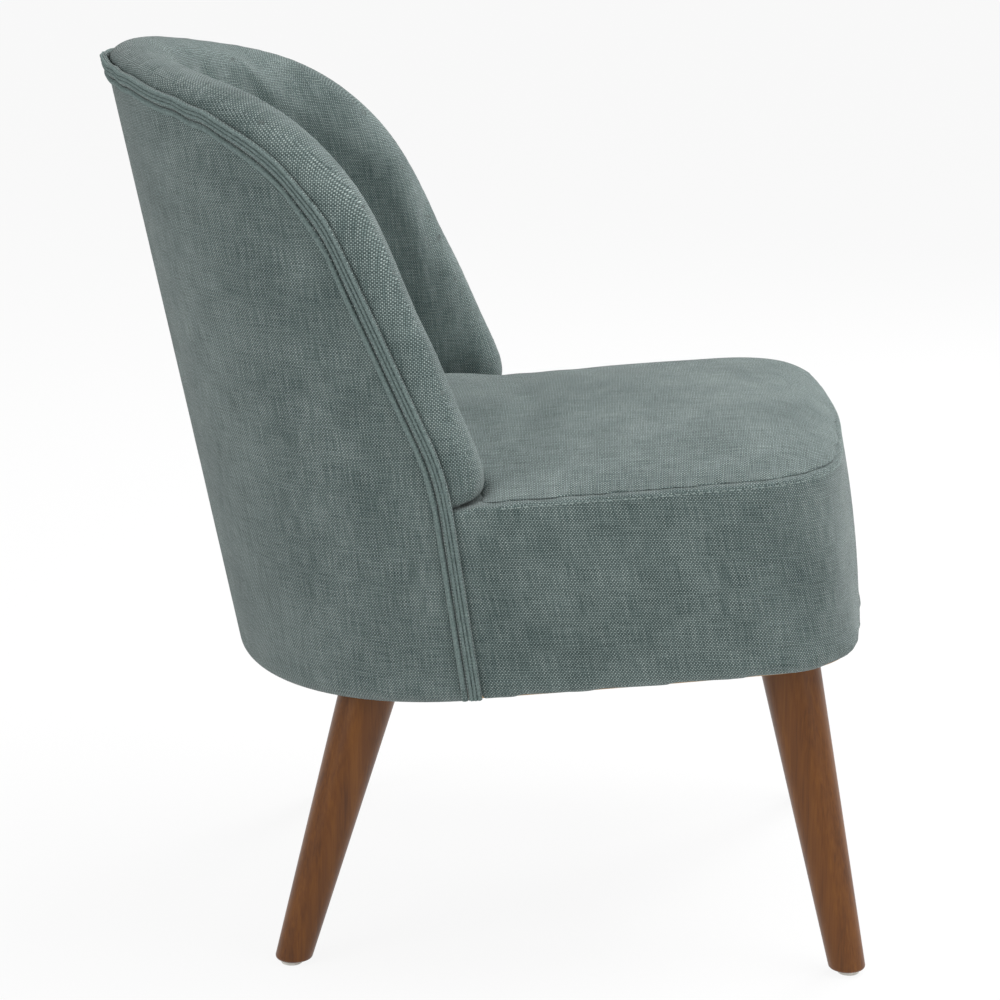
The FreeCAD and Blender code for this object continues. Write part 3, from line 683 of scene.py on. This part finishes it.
def make_stitches(boxing):
    """A row of short stitches just under the seat's seam."""
    bm = bmesh.new()
    bm.from_mesh(boxing.data)
    line_at = SEAT_BASE + SEAT_UP * (SEAM_LEVEL - STITCH_DROP)
    cut = bmesh.ops.bisect_plane(bm, geom=bm.verts[:] + bm.edges[:] + bm.faces[:], plane_co=line_at,
                                 plane_no=SEAT_UP)
    rim = np.array([v.co for v in cut["geom_cut"] if isinstance(v, bmesh.types.BMVert)])
    bm.free()
    order = np.argsort(np.arctan2(rim[:, 1] - BARREL_CENTRE_Y, rim[:, 0]))
    rim = rim[order]
    steps = np.linalg.norm(np.diff(rim, axis=0, append=rim[:1]), axis=1)
    run = np.concatenate([[0], np.cumsum(steps)])
    closed = np.vstack([rim, rim[:1]])
    bm = bmesh.new()
    for distance in np.arange(0, run[-1], STITCH_PITCH):
        at, ahead = (Vector([np.interp(d, run, closed[:, k]) for k in range(3)])
                     for d in (distance, min(distance + STITCH_LENGTH, run[-1])))
        if at.y > STITCH_REAR_Y or (ahead - at).length < STITCH_LENGTH / 2:
            continue
        turn = (ahead - at).to_track_quat("Z", "Y").to_matrix().to_4x4()
        where = Matrix.Translation((at + ahead) / 2) @ turn
        slim = Matrix.Diagonal((STITCH_RADIUS, STITCH_RADIUS, STITCH_LENGTH / 2, 1))
        bmesh.ops.create_uvsphere(bm, u_segments=6, v_segments=5, radius=1.0, matrix=where @ slim)
    place_piece(smooth(object_from(bm, "seam_stitches")), "woven_fabric", (), thread)


def make_hard_and_hidden():
    """Legs and glides as smooth pieces, the hidden soft layers, and finishes for the frame."""
    slot_of = {row["node"]: row["material_slot"] for row in frame["record"]["subparts"]}
    soft = ("back_webbing", "seat_webbing_lengthwise", "seat_webbing_crosswise", "seat_insulator",
            "dust_cover")
    for node, slot in slot_of.items():
        if node.endswith(("_leg", "_glide")) or node in soft:
            place_piece(smooth(merged_copy(node + "_piece", node)), slot, (node,))
        elif not nodes[node].hide_render:
            nodes[node].data.materials.clear()
            nodes[node].data.materials.append(materials[slot])


def make_studio():
    """Pale floor, white surround and four soft lamps."""
    bm = bmesh.new()
    bmesh.ops.create_grid(bm, x_segments=1, y_segments=1, size=FLOOR_REACH)
    floor = object_from(bm, "floor")
    material = bpy.data.materials.new("pale_floor")
    material.use_nodes = True
    tree = material.node_tree
    tree.nodes.clear()
    rays = add(tree, "ShaderNodeLightPath")
    seen = add(tree, "ShaderNodeMath", {0: rays.outputs["Is Camera Ray"],
                                        1: rays.outputs["Is Glossy Ray"]}, operation="MAXIMUM")
    share = add(tree, "ShaderNodeMath", {0: seen.outputs[0], 1: FLOOR_WHITE}, operation="MULTIPLY")
    matt = add(tree, "ShaderNodeBsdfDiffuse", {"Color": linear(FLOOR_COLOUR)})
    white = add(tree, "ShaderNodeEmission", {"Strength": 1.0})
    mixed = add(tree, "ShaderNodeMixShader", {0: share.outputs[0], 1: matt.outputs[0],
                                              2: white.outputs[0]})
    add(tree, "ShaderNodeOutputMaterial", {"Surface": mixed.outputs[0]})
    floor.data.materials.append(material)

    world = bpy.data.worlds.new("studio")
    world.use_nodes = True
    tree = world.node_tree
    tree.nodes.clear()
    rays = add(tree, "ShaderNodeLightPath")
    seen = add(tree, "ShaderNodeMath", {0: rays.outputs["Is Camera Ray"],
                                        1: rays.outputs["Is Transmission Ray"]}, operation="MAXIMUM")
    strength = add(tree, "ShaderNodeMapRange", {"Value": seen.outputs[0], "To Min": SURROUND_LIGHT,
                                                "To Max": 1.0})
    sky = add(tree, "ShaderNodeBackground", {"Color": (1, 1, 1, 1), "Strength": strength.outputs[0]})
    add(tree, "ShaderNodeOutputWorld", {"Surface": sky.outputs[0]})
    bpy.context.scene.world = world

    for name, place, size, energy in LAMPS:
        light = bpy.data.lights.new(name, "AREA")
        light.size = size
        light.energy = energy
        lamp = bpy.data.objects.new(name, light)
        lamp.location = place
        lamp.rotation_euler = (LOOK_AT - lamp.location).to_track_quat("-Z", "Y").to_euler()
        bpy.context.scene.collection.objects.link(lamp)


def make_camera():
    """Camera where the photograph was taken from."""
    turn, rise = math.radians(AZIMUTH), math.radians(ELEVATION)
    back = Vector((math.sin(turn) * math.cos(rise), -math.cos(turn) * math.cos(rise), math.sin(rise)))
    camera = bpy.data.cameras.new("photo_camera")
    camera.lens = LENS
    camera.sensor_width = SENSOR
    eye = bpy.data.objects.new("photo_camera", camera)
    eye.location = LOOK_AT + back * DISTANCE
    eye.rotation_euler = (-back).to_track_quat("-Z", "Y").to_euler()
    bpy.context.scene.collection.objects.link(eye)
    bpy.context.scene.camera = eye


make_camera()
make_studio()
boxing_piece = make_seat()
make_inside_back()
make_outside_back()
make_welt()
make_stitches(boxing_piece)
make_hard_and_hidden()
bpy.context.scene.view_settings.view_transform = "Standard"
